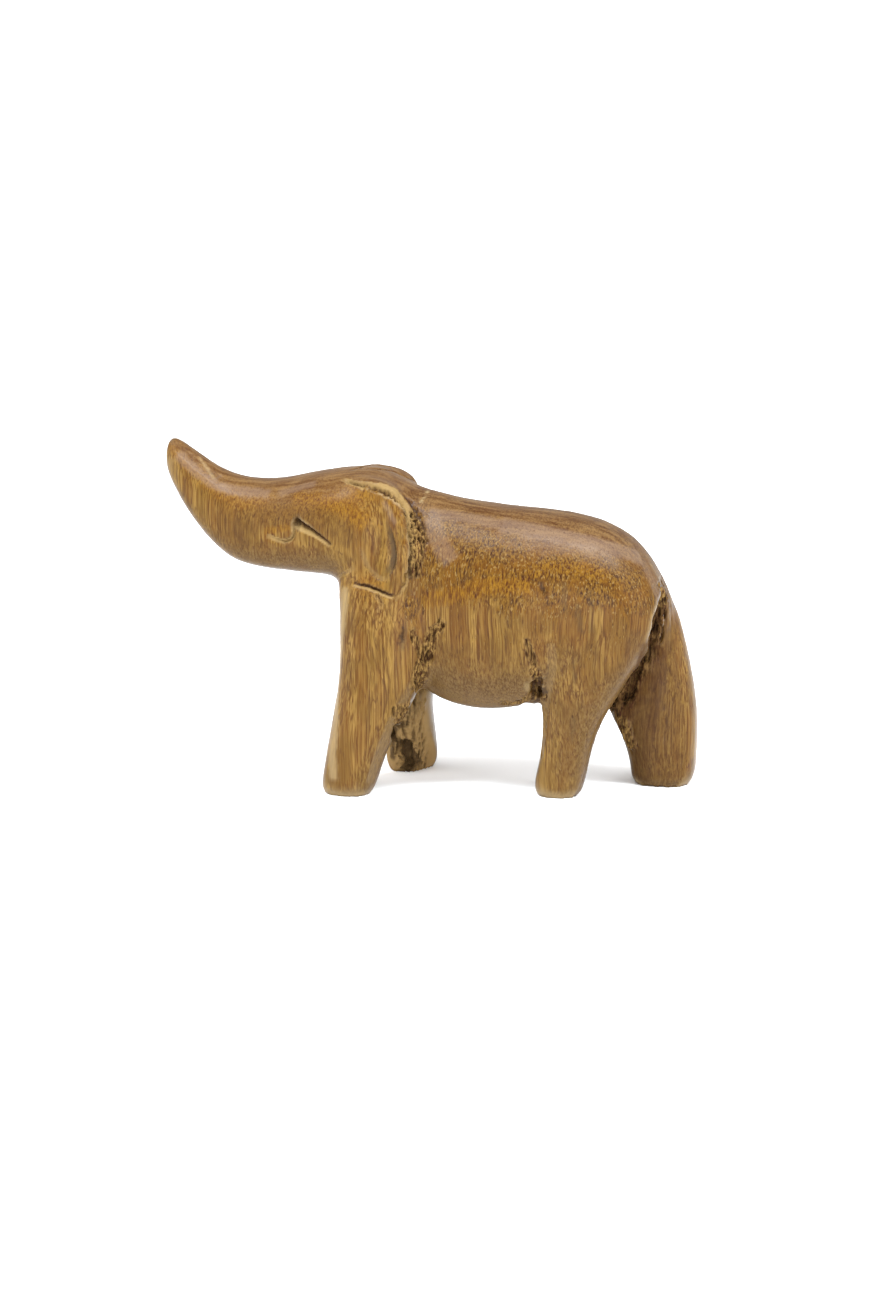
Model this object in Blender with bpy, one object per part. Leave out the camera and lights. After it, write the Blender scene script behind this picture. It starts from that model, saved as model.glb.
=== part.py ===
"""Carved wooden elephant, a figurine cut from one block of hardwood, with its trunk raised.

Frame: metres, +Z up, origin on the surface that it stands on, under the middle of its box.
The head points along -X and the elephant's own left side faces -Y.
The tables below are in millimetres on the block's own grid, and on_block places them in the frame.
"""

import math

import bmesh
import bpy
from mathutils import Vector

MM = 0.001

# Driving sizes of the block and of its skin.
BLOCK_MIDDLE = Vector((-2.0, 1.1, 0.0))  # the middle of the carving's box on the block's grid
RING_POINTS = 40  # points round each cross-section
SPAN_STEPS = 4  # cross-sections made for each span of a table
VOXEL = 0.9  # the grid that melts the limbs and the body into one skin
FILLET_PASSES = 5  # how far the junctions are rounded
TRIANGLE_SHARE = 0.14  # of the skin's triangles, what the solid keeps

# Trunk, head and body, as cross-sections from the tip of the trunk to the rump. Each row is the section's top
# point (x, z), its bottom point (x, z), its reach towards -Y and +Y, and how square its upper and lower halves are.
MASS = (
    (-61.0, 78.6, -62.0, 77.6, 1.3, 1.3, 2.0, 2.2),
    (-59.4, 77.6, -62.0, 71.8, 3.2, 3.2, 2.2, 2.8),
    (-55.3, 74.8, -59.7, 66.6, 4.6, 4.6, 2.3, 3.2),
    (-51.0, 71.9, -56.8, 61.6, 5.5, 5.5, 2.2, 3.4),
    (-46.6, 70.0, -51.8, 55.6, 6.6, 6.6, 2.1, 3.5),
    (-41.5, 69.2, -46.0, 51.2, 7.8, 7.8, 2.1, 3.5),
    (-35.0, 69.6, -37.5, 49.4, 9.2, 9.2, 2.1, 3.5),
    (-27.5, 71.1, -29.0, 48.9, 10.6, 10.8, 2.1, 3.4),
    (-20.0, 72.4, -21.0, 47.4, 11.6, 12.0, 2.2, 3.0),
    (-12.5, 72.1, -14.0, 39.0, 12.0, 12.6, 2.2, 2.6),
    (-4.5, 68.6, -6.0, 26.4, 11.8, 12.8, 2.1, 2.6),
    (4.0, 66.5, 3.0, 20.3, 13.4, 14.2, 2.1, 2.8),
    (13.0, 65.2, 12.5, 19.2, 15.2, 15.6, 2.1, 3.0),
    (22.0, 64.5, 21.5, 20.4, 15.8, 16.4, 2.1, 3.0),
    (30.5, 63.6, 30.5, 22.0, 15.6, 16.8, 2.1, 2.8),
    (38.0, 61.7, 38.5, 24.0, 15.3, 16.6, 2.1, 2.6),
    (43.8, 58.5, 44.5, 28.0, 14.2, 16.0, 2.1, 2.4),
    (48.6, 52.8, 49.0, 32.0, 11.2, 14.8, 2.1, 2.2),
    (51.8, 46.2, 51.8, 36.0, 6.6, 12.6, 2.0, 2.0),
    (52.6, 42.0, 52.4, 39.0, 2.0, 8.0, 2.0, 2.0),
)

# Each leg is a stack of level sections, from below the sole up into the body. Each row is the height, the
# front and rear x, the near and far y, and how square the section is.
LEGS = {
    "left_fore": (
        (-2.5, -21.6, -14.6, -14.4, -7.4, 2.4),
        (0.6, -23.8, -12.6, -16.6, -5.4, 2.6),
        (4.0, -23.6, -11.4, -17.0, -4.8, 2.7),
        (10.0, -22.5, -9.4, -17.0, -4.4, 2.8),
        (17.0, -21.3, -6.0, -16.8, -4.0, 2.8),
        (24.0, -20.3, -2.4, -16.4, -3.6, 2.8),
        (32.0, -19.8, 0.4, -15.8, -3.0, 2.8),
        (41.0, -20.0, 0.6, -14.8, -2.0, 2.8),
        (48.0, -20.4, -2.0, -13.2, -1.0, 2.6),
        (54.0, -18.0, -5.0, -9.0, 0.0, 2.2),
    ),
    "right_fore": (
        (-2.5, -11.8, -6.0, 8.6, 16.4, 2.4),
        (0.6, -13.4, -3.0, 6.4, 18.8, 2.8),
        (4.0, -13.8, -2.6, 6.0, 19.2, 2.8),
        (10.0, -14.6, -3.1, 5.4, 19.2, 2.7),
        (17.0, -16.0, -3.4, 4.6, 18.8, 2.7),
        (24.0, -17.6, -1.4, 4.0, 18.0, 2.7),
        (32.0, -18.6, 1.4, 3.2, 17.0, 2.7),
        (41.0, -18.8, 2.0, 2.4, 15.6, 2.6),
        (48.0, -18.4, 0.0, 1.4, 13.4, 2.5),
        (54.0, -17.0, -4.0, 0.0, 9.4, 2.2),
    ),
    "left_hind": (
        (-2.5, 25.4, 32.4, -7.0, 0.8, 2.4),
        (0.6, 23.6, 34.2, -9.0, 2.6, 2.6),
        (4.0, 24.0, 34.9, -9.4, 2.6, 2.7),
        (10.0, 25.4, 36.2, -10.6, 2.2, 2.8),
        (17.0, 25.9, 38.6, -12.0, 1.6, 2.8),
        (24.0, 25.9, 42.4, -13.6, 1.0, 2.8),
        (32.0, 26.8, 46.6, -14.6, 0.2, 2.6),
        (40.0, 29.0, 49.0, -14.0, -0.4, 2.3),
        (47.0, 32.0, 47.4, -11.0, -0.8, 2.1),
        (53.0, 35.0, 43.0, -6.0, -1.0, 2.0),
    ),
    "right_hind": (
        (-2.5, 46.4, 55.4, 7.2, 16.0, 2.4),
        (0.6, 43.9, 57.5, 4.8, 18.0, 2.6),
        (4.0, 43.6, 58.2, 4.4, 18.4, 2.7),
        (10.0, 42.0, 58.4, 4.0, 18.4, 2.7),
        (17.0, 38.6, 58.2, 4.0, 18.2, 2.6),
        (24.0, 35.8, 57.4, 4.2, 17.8, 2.6),
        (32.0, 34.2, 55.8, 4.2, 17.2, 2.5),
        (40.0, 33.4, 53.4, 3.8, 16.2, 2.4),
        (47.0, 33.8, 50.2, 2.6, 13.8, 2.3),
        (53.0, 36.0, 44.6, 2.0, 10.0, 2.1),
    ),
}

# The outline of an ear seen from the side, as (x, z), from its front top round to its throat. The ear lies
# flush with the head at its front and stands proud of the neck at its rear edge.
EAR_OUTLINE = (
    (-22.0, 67.5),
    (-17.5, 71.0),
    (-11.0, 70.6),
    (-6.6, 67.8),
    (-4.3, 61.5),
    (-3.6, 54.5),
    (-4.6, 47.6),
    (-9.5, 46.8),
    (-16.5, 49.0),
    (-21.0, 55.0),
)
EAR_ROOT = 5.0  # how far from the middle plane an ear starts
EAR_FLUSH = 10.2  # its outer face at the front
EAR_PROUD = {-1: 14.4, 1: 14.6}  # its outer face at the rear, on the -Y side and on the +Y side
EAR_LIFT = {-1: 0.0, 1: 0.9}  # how much higher the top of the ear on the +Y side is
EAR_LEAN_FROM = 57.0  # above this height the outer face leans in
EAR_LEAN = 0.26

# The cleft between the hind legs, as its bottom's (x, z) seen from the side and its walls' y there. The near wall
# leans away towards the mouth, and the far wall is the inner face of the right hind leg.
CLEFT = (
    (50.6, 47.2, 0.8, 1.6),
    (48.2, 43.6, 0.0, 3.0),
    (46.0, 38.5, -0.8, 3.8),
    (43.4, 32.5, -1.0, 4.0),
    (40.0, 26.5, -0.8, 3.9),
    (36.6, 20.5, 0.2, 3.5),
    (34.0, 15.5, 1.2, 3.0),
)
CLEFT_MOUTH = 14.0  # how far the cutter runs out behind the cleft's bottom
CLEFT_LEAN = 5.4  # how far the near wall leans away over that

# The eye of either side is a wedge-shaped nick, as (x, z) from its deep front end to its shallow rear end.
EYE = ((-29.4, 61.7), (-22.2, 57.0))
EYE_FLOOR = 8.6  # how far from the middle plane the nick's deep end is
EYE_RISE = 3.0  # how much shallower its rear end is
EYE_OUTSIDE = 14.6  # where its cutter ends, clear of the head
EYE_HALF_HEIGHT = 2.7  # the cutter's there

UNDERSIDE = (160.0, 80.0, 20.0)  # a block larger than the carving, which cuts the soles flat


def on_block(x, y, z):
    return (Vector((x, y, z)) - BLOCK_MIDDLE) * MM


def smoothed(rows, steps):
    """The rows with steps - 1 more between each two, on a Catmull-Rom curve through them."""
    out = []
    last = len(rows) - 1
    for i in range(last):
        before, start, end, after = (rows[min(max(k, 0), last)] for k in (i - 1, i, i + 1, i + 2))
        for step in range(steps):
            t = step / steps
            out.append(tuple(spline(*four, t) for four in zip(before, start, end, after)))
    return out + [rows[-1]]


def spline(a, b, c, d, t):
    """The Catmull-Rom value at t between b and c."""
    return b + 0.5 * t * (c - a + t * (2 * a - 5 * b + 4 * c - d + t * (3 * (b - c) + d - a)))


def signed_power(value, power):
    return math.copysign(abs(value) ** power, value)


def superellipse(square_above, square_below):
    """The section's (across, up) pairs, each from -1 to 1. It is an ellipse at 2 and squarer above that."""
    pairs = []
    for k in range(RING_POINTS):
        turn = math.tau * k / RING_POINTS
        power = 2 / (square_above if math.sin(turn) > 0 else square_below)
        pairs.append((signed_power(math.cos(turn), power), signed_power(math.sin(turn), power)))
    return pairs


def mass_ring(row):
    """A cross-section that leans with the line from its bottom point to its top point."""
    top_x, top_z, bottom_x, bottom_z, near, far, square_above, square_below = row
    ring = []
    for across, up in superellipse(square_above, square_below):
        share = (up + 1) / 2
        y = across * (far if across > 0 else near)
        ring.append(on_block(bottom_x + (top_x - bottom_x) * share, y, bottom_z + (top_z - bottom_z) * share))
    return ring


def leg_ring(row):
    """A level section of a leg."""
    z, front, rear, near, far, square = row
    ring = []
    for along, across in superellipse(square, square):
        x = (front + rear + along * (rear - front)) / 2
        ring.append(on_block(x, (near + far + across * (far - near)) / 2, z))
    return ring


def loft(mesh, rings):
    """Skins a row of rings with quads and closes both ends."""
    levels = [[mesh.verts.new(point) for point in ring] for ring in rings]
    for low, high in zip(levels, levels[1:]):
        for k in range(len(low)):
            after = (k + 1) % len(low)
            mesh.faces.new((low[k], low[after], high[after], high[k]))
    mesh.faces.new(reversed(levels[0]))
    mesh.faces.new(levels[-1])


def ear(mesh, side):
    """A wedge with the ear's outline, on the -Y side of the head for side -1 and on the +Y side for side 1."""
    outline = smoothed(EAR_OUTLINE + EAR_OUTLINE[:1], SPAN_STEPS)[:-1]
    outline = [(x, z + EAR_LIFT[side] * (z > EAR_LEAN_FROM)) for x, z in outline]
    front = min(x for x, _ in outline)
    rear = max(x for x, _ in outline)
    root = [on_block(x, side * EAR_ROOT, z) for x, z in outline]
    face = []
    for x, z in outline:
        proud = EAR_FLUSH + (EAR_PROUD[side] - EAR_FLUSH) * (x - front) / (rear - front)
        lean = EAR_LEAN * max(z - EAR_LEAN_FROM, 0.0)
        face.append(on_block(x, side * (proud - lean), z))
    loft(mesh, [root, face])


def new_object(name, mesh):
    """An object from the bmesh, with its faces pointing out."""
    bmesh.ops.recalc_face_normals(mesh, faces=mesh.faces)
    data = bpy.data.meshes.new(name)
    mesh.to_mesh(data)
    mesh.free()
    made = bpy.data.objects.new(name, data)
    bpy.context.scene.collection.objects.link(made)
    return made


def cleft(mesh):
    """A slot that opens to the rear."""
    rings = []
    for x, z, near, far in smoothed(CLEFT, SPAN_STEPS):
        mouth = x + CLEFT_MOUTH
        corners = ((x, near), (x, far), (mouth, far), (mouth, near - CLEFT_LEAN))
        rings.append([on_block(corner_x, y, z) for corner_x, y in corners])
    loft(mesh, rings)


def eye(mesh, side):
    """A four-sided spike that leans into the side of the head."""
    (front_x, front_z), (rear_x, rear_z) = EYE
    rings = []
    for x, z, floor in ((front_x, front_z, EYE_FLOOR), (rear_x, rear_z, EYE_FLOOR + EYE_RISE)):
        edge = on_block(x, side * floor, z)
        above = on_block(x, side * EYE_OUTSIDE, z + EYE_HALF_HEIGHT)
        below = on_block(x, side * EYE_OUTSIDE, z - EYE_HALF_HEIGHT)
        rings.append([edge, above, below])
    loft(mesh, rings)


def under_the_soles(mesh):
    """A block whose top is the plane that the feet stand on."""
    length, width, height = UNDERSIDE
    bmesh.ops.create_cube(mesh, size=1.0)
    for vertex in mesh.verts:
        x, y, z = vertex.co
        vertex.co = on_block(x * length, y * width, (z - 0.5) * height)


def cutter(name, build, *details):
    """A hidden solid that the carving is cut by."""
    mesh = bmesh.new()
    build(mesh, *details)
    knife = new_object(name, mesh)
    knife.hide_render = True
    knife.display_type = "WIRE"
    return knife


def carving():
    """The one solid: body, legs and ears melted together, rounded at the joins and then cut."""
    mesh = bmesh.new()
    loft(mesh, [mass_ring(row) for row in smoothed(MASS, SPAN_STEPS)])
    for rows in LEGS.values():
        loft(mesh, [leg_ring(row) for row in smoothed(rows, SPAN_STEPS)])
    for side in (-1, 1):
        ear(mesh, side)
    carved = new_object("carved_elephant", mesh)
    melt = carved.modifiers.new("melt", "REMESH")
    melt.mode = "VOXEL"
    melt.voxel_size = VOXEL * MM
    melt.use_smooth_shade = True
    fillet = carved.modifiers.new("fillet", "SMOOTH")
    fillet.factor = 0.5
    fillet.iterations = FILLET_PASSES
    thin = carved.modifiers.new("thin", "DECIMATE")
    thin.ratio = TRIANGLE_SHARE
    knives = [
        cutter("cleft_cutter", cleft),
        cutter("left_eye_cutter", eye, -1),
        cutter("right_eye_cutter", eye, 1),
        cutter("sole_cutter", under_the_soles),
    ]
    for knife in knives:
        cut = carved.modifiers.new(knife.name, "BOOLEAN")
        cut.operation = "DIFFERENCE"
        cut.solver = "EXACT"
        cut.object = knife
    return carved


def wood():
    """Waxed brown hardwood."""
    material = bpy.data.materials.new("waxed_hardwood")
    material.use_nodes = True
    shader = material.node_tree.nodes["Principled BSDF"]
    shader.inputs["Base Color"].default_value = (0.30, 0.155, 0.05, 1)
    shader.inputs["Roughness"].default_value = 0.45
    shader.inputs["Metallic"].default_value = 0.0
    return material


def main():
    for old in list(bpy.data.objects):
        bpy.data.objects.remove(old, do_unlink=True)
    carving().data.materials.append(wood())


main()
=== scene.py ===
"""Looks of the carved wooden elephant: its tool marks and torn wood, its waxed grain, and a plain studio.

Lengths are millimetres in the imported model's frame unless a name says otherwise. The head points along -X,
and the elephant's own left side faces -Y. A mark is a line of (x, z) points on the plane y = 0, seen from
the camera, and it is pressed along the line of sight onto the carving. The other side's marks are pressed
from the mirrored place.
"""
import math
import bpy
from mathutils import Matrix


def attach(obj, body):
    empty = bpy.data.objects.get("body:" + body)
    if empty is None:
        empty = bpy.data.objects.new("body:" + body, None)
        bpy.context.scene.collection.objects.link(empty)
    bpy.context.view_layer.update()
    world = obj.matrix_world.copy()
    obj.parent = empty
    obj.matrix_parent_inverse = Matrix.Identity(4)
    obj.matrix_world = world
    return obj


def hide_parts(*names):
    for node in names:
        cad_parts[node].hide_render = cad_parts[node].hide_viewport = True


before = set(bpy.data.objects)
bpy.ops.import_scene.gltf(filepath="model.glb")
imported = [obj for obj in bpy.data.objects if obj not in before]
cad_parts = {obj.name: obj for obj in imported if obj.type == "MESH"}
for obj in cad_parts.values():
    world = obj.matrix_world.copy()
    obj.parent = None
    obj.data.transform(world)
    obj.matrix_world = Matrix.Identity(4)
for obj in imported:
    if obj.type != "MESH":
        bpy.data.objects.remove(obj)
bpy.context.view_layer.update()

from types import SimpleNamespace

import bmesh
import bpy
import numpy as np
from mathutils import Vector, noise
from mathutils.bvhtree import BVHTree

MM = 0.001
NODE = "carved_elephant"
LEFT, RIGHT = -1, 1
ALL = slice(None)
BOTH = (LEFT, RIGHT)

# The camera looks at the elephant's left side from a little behind its middle and from above.
CAMERA_AZIMUTH = math.radians(11)
CAMERA_ELEVATION = math.radians(13)
CAMERA_DISTANCE = 700
CAMERA_TARGET = np.array((2.0, -1.1, 30.4))
CAMERA_LENS = 85
CAMERA_BACK = np.array(
    (
        math.sin(CAMERA_AZIMUTH) * math.cos(CAMERA_ELEVATION),
        -math.cos(CAMERA_AZIMUTH) * math.cos(CAMERA_ELEVATION),
        math.sin(CAMERA_ELEVATION),
    )
)
CAMERA_PLACE = CAMERA_TARGET + CAMERA_BACK * CAMERA_DISTANCE

# The tent of light round the elephant: from all sides, and what is added from above and from both ends.
TENT_ROUND = 0.75
TENT_ABOVE = 0.45
TENT_ENDS = 0.8
BACKDROP = 1.2  # what the camera sees of the tent
PAPER = 0.92  # the floor's whiteness
FLOOR_RADIUS = 6.0  # in metres

# How the skin is made from the CAD solid.
ROUGH_VOXEL = 0.8
ROUGH_SMOOTHING = 12
FINE_VOXEL = 0.6
FINE_SMOOTHING = 1
REFINED_REACH = 2.6  # how far round a mark the skin gets four times the points
SKIN_GAIN = 0.28  # what the smoothing takes off and the carving puts back
MARK_STEPS = 8  # points made for each span of a mark
OUT_BLEND = 9  # how many points on each side of a mark's point share its outward direction
RIM_BLEND = 0.12  # how softly a tone ends inside a groove, as a share of the groove's wall

# The cells of the noises that roughen the wood: how wide across the grain, and how long along it.
FRAY_CELL = (0.8, 2.2)
FRAY_SEED = 1
TORN_EDGE_CELL = (1.2, 3.0)
SPLINTER_CELL = (0.8, 4.6)
CRUMB_CELL = (0.5, 1.0)
STAIN_EDGE_CELL = (1.0, 4.0)
FIBRE_CELL = (0.8, 4.0)
FIBRE_CRUMB_CELL = (0.6, 1.0)
KNIFE_CELL = (9, 14)
RIPPLE_CELL = (1.1, 7)
KNIFE_HEIGHT = 0.16
RIPPLE_HEIGHT = 0.035
SOLE = 0.3  # points lower than this are set on the ground
HOLLOW_PASSES = 12  # how far round a point its surroundings are taken, for the dirt and painted shade in the hollows and for the worn edges

# The speckled end grain shows on the body's upper slopes, from these heights up and behind these x.
SLOPE_HEIGHTS = (36, 44)
STIPPLE_FRONT = (-5, -1)
EDGE_OF_STIPPLE = 0.16  # added to a slope's upward share, so that noise makes the stipple's edge ragged

SPECULAR = 0.09  # the wax's gloss
LIGHT = 3.75  # how bright white wood would look on the elephant's side
SHEEN = 0.022  # what the wax's reflections add there
DARKEST = 0.45  # the least share of a colour that is the wood's own
BUMP_HEIGHT = 0.035  # of the finest grain

# What each point of the skin carries for the material, each from 0 to 1. Several of them paint light or
# shade into the wood's colour.
TONES = (
    "fresh", "torn", "painted_recess_shade", "stain", "wear_and_painted_edge_light", "amber", "smoke_and_painted_shade", "bloom_and_painted_sheen", "dirt_and_painted_shade", "pale_and_painted_fill",
    "upward", "stippled", "downward",
)

# Marks, each with the sides that carry it.
LINES = {
    "ear_edge": (BOTH, (
        (-19.6, 69.1), (-15.8, 68.3), (-12.5, 67.3), (-9.1, 66.0), (-6.4, 64.1),
        (-4.9, 61.4), (-4.3, 57.7), (-4.2, 52.0), (-5.2, 47.0), (-7.6, 42.4),
    )),
    "ear_scoop": (BOTH, ((-9.4, 59.6), (-8.3, 57.0), (-7.6, 53.6), (-7.9, 50.0), (-9.4, 47.6))),
    "ear_fold": (BOTH, ((-16.0, 54.3), (-14.9, 51.1), (-13.5, 48.6), (-11.2, 46.8), (-8.4, 46.5))),
    "ear_slit": (BOTH, ((-8.4, 43.1), (-10.0, 43.7), (-13.2, 44.9), (-16.6, 45.5))),
    "ear_chip": (BOTH, ((-11.6, 42.8), (-10.6, 41.0), (-11.0, 39.4))),
    "ear_sliver": ((LEFT,), ((-19.6, 69.1), (-17.3, 68.5), (-15.2, 67.8))),
    "ear_gap": (BOTH, ((-6.0, 62.6), (-4.9, 60.2), (-4.2, 55.0), (-4.3, 47.4))),
    "neck_cut": (BOTH, ((-6.5, 66.6), (-4.2, 64.4), (-2.3, 61.9), (-0.8, 58.5))),
    "torn_neck": (BOTH, ((-3.6, 62.0), (-2.6, 58.6), (-2.3, 53.5), (-3.2, 48.6))),
    "eye": (BOTH, ((-22.8, 54.7), (-26.5, 57.4), (-30.1, 59.7))),
    "eye_front": (BOTH, ((-30.4, 60.6), (-30.4, 57.6))),
    "eye_flake": (BOTH, ((-31.2, 58.2), (-31.5, 55.9), (-33.4, 54.9), (-36.8, 55.9))),
    "far_ear_groove": ((LEFT,), ((-14.4, 71.8), (-11.4, 71.7), (-8.1, 71.3), (-5.7, 70.4), (-3.7, 69.6))),
    "far_ear_ring": ((LEFT,), ((-17.6, 71.4), (-13.2, 72.6), (-9.4, 72.6), (-6.4, 71.9))),
    "throat": (BOTH, ((-21.6, 46.0), (-19.9, 47.4), (-17.4, 49.0))),
    "trunk_top": (BOTH, ((-58.6, 76.0), (-55.8, 74.0), (-52.8, 71.4), (-49.4, 68.6))),
    "torn_elbow": (BOTH, ((2.9, 37.0), (1.0, 34.0), (0.1, 30.3), (-1.1, 26.7), (-2.2, 22.4), (-3.0, 18.7))),
    "torn_fork": ((LEFT,), ((-3.7, 34.4), (-2.6, 31.4), (-1.9, 28.6), (-2.6, 25.2), (-3.1, 22.4))),
    "leg_facet": (BOTH, ((-4.6, 22.6), (-7.0, 16.2), (-9.7, 10.2), (-11.7, 5.0), (-13.4, 0.0))),
    "belly_scar": ((LEFT,), ((22.8, 33.4), (23.4, 30.8), (24.2, 28.4), (25.0, 25.8))),
    "belly_edge": ((LEFT,), ((17.8, 19.4), (20.4, 19.6), (23.0, 20.6), (25.4, 21.6))),
    "thigh_edge": ((LEFT,), ((28.2, 32.5), (28.5, 28.5), (27.6, 22.7), (27.0, 13.3), (26.6, 8.1))),
    "cleft_floor": ((LEFT,), (
        (53.2, 44.5), (52.6, 40.9), (51.6, 36.8), (50.4, 32.6), (48.6, 28.8), (46.8, 25.2), (44.8, 20.8),
    )),
    "cleft_chip": ((LEFT,), ((52.6, 47.6), (53.2, 46.2), (53.6, 45.0))),
    "crotch": ((LEFT,), ((43.6, 19.6), (44.6, 16.6), (45.6, 14.0), (47.0, 11.0))),
    "far_foot_front": ((LEFT,), ((-6.2, 17.0), (-6.4, 12.0), (-6.6, 6.0), (-6.6, 1.0))),
    "far_foot_rear": ((LEFT,), ((-2.6, 18.0), (-2.9, 12.0), (-2.8, 6.0), (-3.0, 2.0))),
}

# Facets: the mark, the depths along it, how far to each side it reaches, and how pale its edge is painted,
# as wear and as painted light.
FACETS = (
    ("leg_facet", (0.1, 0.35, 0.35, 0.3), 2.6, 0.12),
    ("trunk_top", (0.3, 0.35, 0.2), 4.0, 0.0),
    ("thigh_edge", (0.2, 0.35, 0.3), 1.2, 0.15),
)
# Grooves: the mark, the depths along it, the widths of its walls above and below, how ragged it is, and its
# tones, as gouge() takes them. The tones that darken a groove paint the shade inside it.
HEAD_GOUGES = (
    ("throat", (0.1, 0.45, 0.1), 0.8, 0.8, 0.0, (("fresh", -0.6, 0.6, 0.4),)),
    ("ear_edge", (0.1, 0.8, 1.6, 1.4, 0.8, 0.3), 0.35, (0.5, 1.4, 2.9, 2.2, 1.0, 0.7), 0.45, (
        ("fresh", -0.95, -0.1, 0.95),
    )),
    ("ear_scoop", (0.1, 0.6, 0.9, 0.1), (1.2, 2.0, 2.0), 0.5, 0.0, (("stain", -0.9, 0.6, 1.0),)),
    ("ear_fold", (0.0, 0.35, 0.3, 0.0), 0.5, 1.6, 0.0, (("fresh", -0.5, 0.3, 0.35),)),
    ("ear_slit", (0.4, 0.9, 1.0, 0.4), 0.25, 0.9, 0.15, (
        ("painted_recess_shade", -0.25, 1.0, 1.0), ("fresh", -1.0, -0.35, 0.9),
    )),
    ("ear_chip", (0.6, 0.4, 0.1), 1.0, 0.4, 0.0, (("torn", -0.9, 0.9, 0.6),)),
    ("ear_sliver", (0.1, 0.7, 0.4), 0.5, 0.9, 0.4, (("fresh", -1, 1, 0.9),)),
    ("far_ear_groove", (0.1, 0.7, 0.6, 0.2), 0.4, 0.7, 0.3, (("painted_recess_shade", -0.5, 0.9, 0.8),)),
    ("far_ear_ring", (0.1, 0.7, 0.6, 0.2), 0.4, 0.7, 0.3, (("painted_recess_shade", -0.5, 0.9, 0.8),)),
    ("eye", (0.5, 1.1, 1.4), (0.3, 0.35, 0.45), (0.8, 1.3, 2.0), 0.15, (
        ("painted_recess_shade", -0.18, 1.0, 1.0), ("fresh", -1.0, -0.28, 1.0),
    )),
    ("eye_front", (0.2, 0.6, 0.2), 1.1, 0.9, 0.0, (("stain", -0.9, 0.9, 0.6),)),
    ("eye_flake", (0.5, 0.8, 0.8, 0.2), 0.3, (0.6, 1.2, 1.6), 0.15, (("fresh", -0.5, 1.0, 1.0),)),
)
# The tones that darken these grooves paint the shade inside the cuts.
NECK_GOUGES = (
    ("neck_cut", (0.1, 0.5, 0.6, 0.2), 0.5, 0.7, 0.3, (("painted_recess_shade", -0.4, 0.8, 0.8),)),
    ("ear_gap", (0.1, 0.8, 0.6, 0.3), 0.3, 0.7, 0.3, (("painted_recess_shade", -0.8, 0.9, 1.0),)),
)
# Torn wood: the mark, its half widths, its depths, its roughness, a seed for each side, how torn it looks,
# and how much shade is painted into its deep gaps.
NECK_TEARS = (("torn_neck", (1.0, 2.4, 2.2, 1.6), (0.6, 0.6, 0.3), 0.6, (11, 11), 1.0, 0.7),)
BODY_TEARS = (
    ("torn_elbow", (1.3, 1.9, 2.0, 2.0, 1.6), 0.8, 0.7, (11, 13), 1.0, 0.55),
    ("torn_fork", (0.9, 1.4, 1.3), 0.5, 0.5, (14,), 1.0, 0.7),
    ("cleft_floor", (1.4, 2.2, 2.8, 3.2), 0.4, 0.7, (15,), 0.9, 1.0),
    ("cleft_chip", 1.0, 0.5, 0.4, (16,), 1.0, 0.7),
    ("crotch", 2.0, -0.1, 0.6, (19,), 1.0, 0.4),
    ("far_foot_front", 2.8, 0.2, 0.8, (30,), 0.9, 0.6),
    ("far_foot_rear", 2.8, 0.2, 0.8, (31,), 0.9, 0.6),
    ("belly_scar", (0.9, 1.2, 1.4), 0.4, 0.5, (18,), 1.0, 0.7),
    ("belly_edge", 1.2, 0.2, 0.5, (20,), 0.7, 0.7),
)

# Boxes round the wood that broke instead of being cut, each as its low and its high corner.
FAR = math.inf
BETWEEN_HIND_LEGS = ((34, -8, -FAR), (FAR, 5, 49))
CLEFT_WALL = ((38, -14, 18), (FAR, FAR, 47))
BROKEN_FOOT = ((-FAR, 3, -FAR), (2, FAR, FAR))
BROKEN_FOOT_HEIGHTS = (12, 24)  # between these the break fades out

# The deep breaks. A hollow in the far fore foot is half its width and its line.
HOLLOWS = (
    (1.9, ((-6.0, 9.6), (-5.4, 6.5), (-4.9, 4.2), (-4.7, 0.6))),
    (1.2, ((-7.2, 13.5), (-7.8, 11.6), (-8.3, 8.7))),
)
HOLLOW_DEPTH = 4.4
SLOTS = (((24.2, 24.6), (24.2, 21.2)), ((25.6, 25.6), (25.6, 20.8)))
SLOT_HALF_WIDTH = 0.75
SLOT_DEPTH = 3.4
CLEFT_LEFT = (
    (52.6, 46.6), (52.1, 44.3), (51.0, 41.5), (50.1, 38.0), (49.5, 35.2), (48.7, 32.0),
    (47.3, 30.1), (45.6, 27.5), (44.0, 24.8), (42.9, 22.5), (42.2, 20.6),
)
CLEFT_RIGHT = (
    (53.8, 46.8), (54.3, 43.7), (53.7, 40.0), (53.1, 35.4), (51.8, 31.9),
    (50.3, 28.8), (49.4, 26.0), (48.6, 23.4), (47.4, 20.8), (45.0, 18.6),
)
CLEFT_MOUTH = -25  # the y of its open side
CLEFT_FLOOR = (0.5, 3.6, 4.6, 5.2, 5.4)  # the y of its floor, from the top down
CLEFT_LEAN_LEFT = (0.2, 2.2)  # how far the floor's left edge stands off the mouth's, from the top down
CLEFT_LEAN_RIGHT = (-1.6, -0.5)  # and its right edge, from the bottom up
BELLY_BREAK = ((18.1, 18.0), (19.5, 18.7), (20.9, 18.6), (22.3, 19.7), (24.8, 19.6), (26.4, 20.8))
BELLY_REACH = 24  # how far to each side the break under the belly goes
BELLY_BOTTOM = 10.0
# The slanting cut through the far fore foot, as its corners at the sole and higher up.
FOOT_BREAK = (
    ((-8.6, 3.0, -1.0), (1.0, 3.0, -1.0), (1.0, 15.5, -1.0)),
    ((-4.4, 3.0, 13.0), (1.0, 3.0, 13.0), (1.0, 8.0, 13.0)),
)
PINHOLES = (((-6.1, 34.7), (-6.3, 33.1)), ((26.1, 46.4), (26.6, 45.3)))

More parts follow.
